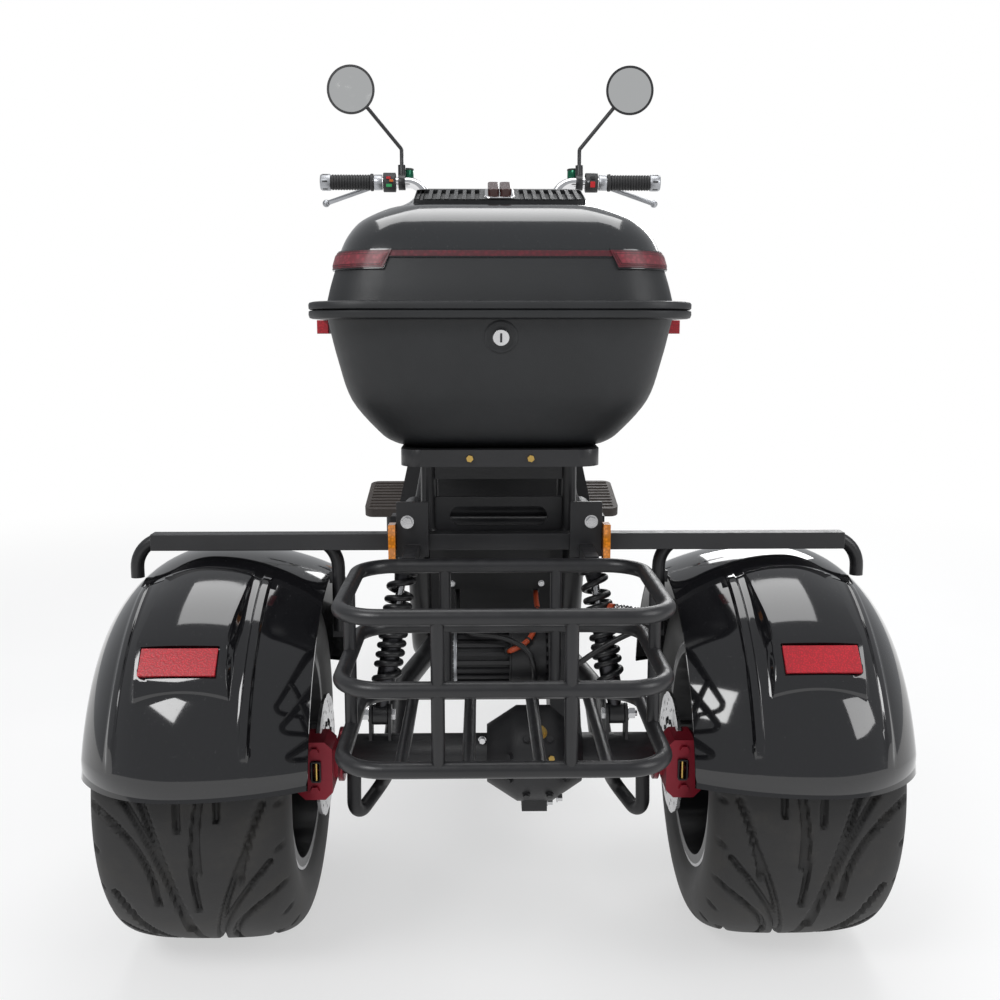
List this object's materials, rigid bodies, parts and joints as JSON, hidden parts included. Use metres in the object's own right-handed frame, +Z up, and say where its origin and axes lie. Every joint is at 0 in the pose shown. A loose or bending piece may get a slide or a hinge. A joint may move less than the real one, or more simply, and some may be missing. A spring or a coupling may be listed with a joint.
{
  "type": "electric trike scooter",
  "caption": "Electric trike scooter: steered front wheel, driven rear axle with domed fenders, tube frame, seat, hinged top box and rear tube basket.",
  "frame": {"origin": "on the ground below the middle of the machine's box", "axes": "+X to the rider's right, +Y ahead, +Z up"},
  "size_m": [0.9342, 1.97, 1.2989],
  "materials": {
    "black_frame_paint": "satin black powder coat",
    "gloss_black_plastic": "high gloss black moulding",
    "matte_black_plastic": "fine matt black moulding",
    "dark_box_plastic": "dark grey moulding, glossy lid and satin tub",
    "tyre_rubber": "clean black tyre",
    "soft_rubber": "black ribbed rubber",
    "foot_rubber": "brown black rubber",
    "rim_black": "black cast wheel with a bright lip",
    "brake_steel": "ground steel",
    "bright_steel": "bright plating",
    "caliper_red": "red anodised look",
    "motor_black": "black cast housing",
    "seat_leather": "black seat cover",
    "lamp_red": "dark red lens",
    "reflector_red": "red reflector",
    "lamp_amber": "amber lens",
    "clear_lens": "clear lens",
    "mirror_face": "silvered glass",
    "reservoir_green": "green anodised look",
    "lid_brown": "brown grip",
    "fork_silver": "silver fork"
  },
  "bodies": {
    "chassis": {"main_frame": "black_frame_paint", "axle_housing": "motor_black", "swing_arm": "black_frame_paint", "drive_motor": "motor_black", "drive_cables": "soft_rubber", "shock_left": "black_frame_paint", "shock_right": "black_frame_paint", "battery_case": "matte_black_plastic", "controller_box": "matte_black_plastic", "seat_pan": "matte_black_plastic", "seat_cushion": "seat_leather", "footboards": "foot_rubber", "guard_rail": "black_frame_paint", "guard_hoops": "black_frame_paint", "mount_brackets": "black_frame_paint", "rear_lamps": "lamp_amber", "basket": "black_frame_paint", "box_rack": "black_frame_paint", "box_body": "dark_box_plastic", "box_lock": "bright_steel", "side_latches": "reflector_red", "rear_calipers": "caliper_red", "fender_left": "gloss_black_plastic", "fender_right": "gloss_black_plastic", "fender_reflectors": "reflector_red"},
    "box_lid": {"box_lid": "dark_box_plastic", "lid_lamp": "lamp_red", "lid_handle": "lid_brown"},
    "rear_wheel_left": {"rear_tyre_left": "tyre_rubber", "rear_rim_left": "rim_black", "rear_disc_left": "brake_steel", "rear_shaft_left": "bright_steel"},
    "rear_wheel_right": {"rear_tyre_right": "tyre_rubber", "rear_rim_right": "rim_black", "rear_disc_right": "brake_steel", "rear_shaft_right": "bright_steel"},
    "steering": {"fork_legs": "fork_silver", "front_axle": "bright_steel", "fork_crowns": "black_frame_paint", "handlebar": "bright_steel", "grips": "soft_rubber", "brake_levers": "fork_silver", "brake_reservoirs": "reservoir_green", "switch_pods": "matte_black_plastic", "mirrors": "black_frame_paint", "mirror_glass": "mirror_face", "display": "matte_black_plastic", "headlight": "gloss_black_plastic", "headlight_lens": "clear_lens", "front_lamps": "lamp_amber", "front_fender": "gloss_black_plastic", "front_caliper": "caliper_red"},
    "front_wheel": {"front_tyre": "tyre_rubber", "front_rim": "rim_black", "front_disc": "brake_steel"}
  },
  "joints": [
    {"name": "rear_wheel_left_spin", "type": "hinge", "parent": "chassis", "child": "rear_wheel_left", "pos_m": [-0.345, -0.613, 0.218], "axis": [1, 0, 0], "continuous": true},
    {"name": "rear_wheel_right_spin", "type": "hinge", "parent": "chassis", "child": "rear_wheel_right", "pos_m": [0.345, -0.613, 0.218], "axis": [1, 0, 0], "continuous": true},
    {"name": "steer", "type": "hinge", "parent": "chassis", "child": "steering", "pos_m": [0, 0.72285, 0.19453], "axis": [0, -0.4695, 0.8829], "range_deg": [-35, 35]},
    {"name": "front_wheel_spin", "type": "hinge", "parent": "steering", "child": "front_wheel", "pos_m": [0, 0.767, 0.218], "axis": [1, 0, 0], "continuous": true},
    {"name": "lid_open", "type": "hinge", "parent": "chassis", "child": "box_lid", "pos_m": [0, -0.405, 0.774], "axis": [-1, 0, 0], "range_deg": [0, 75]}
  ]
}
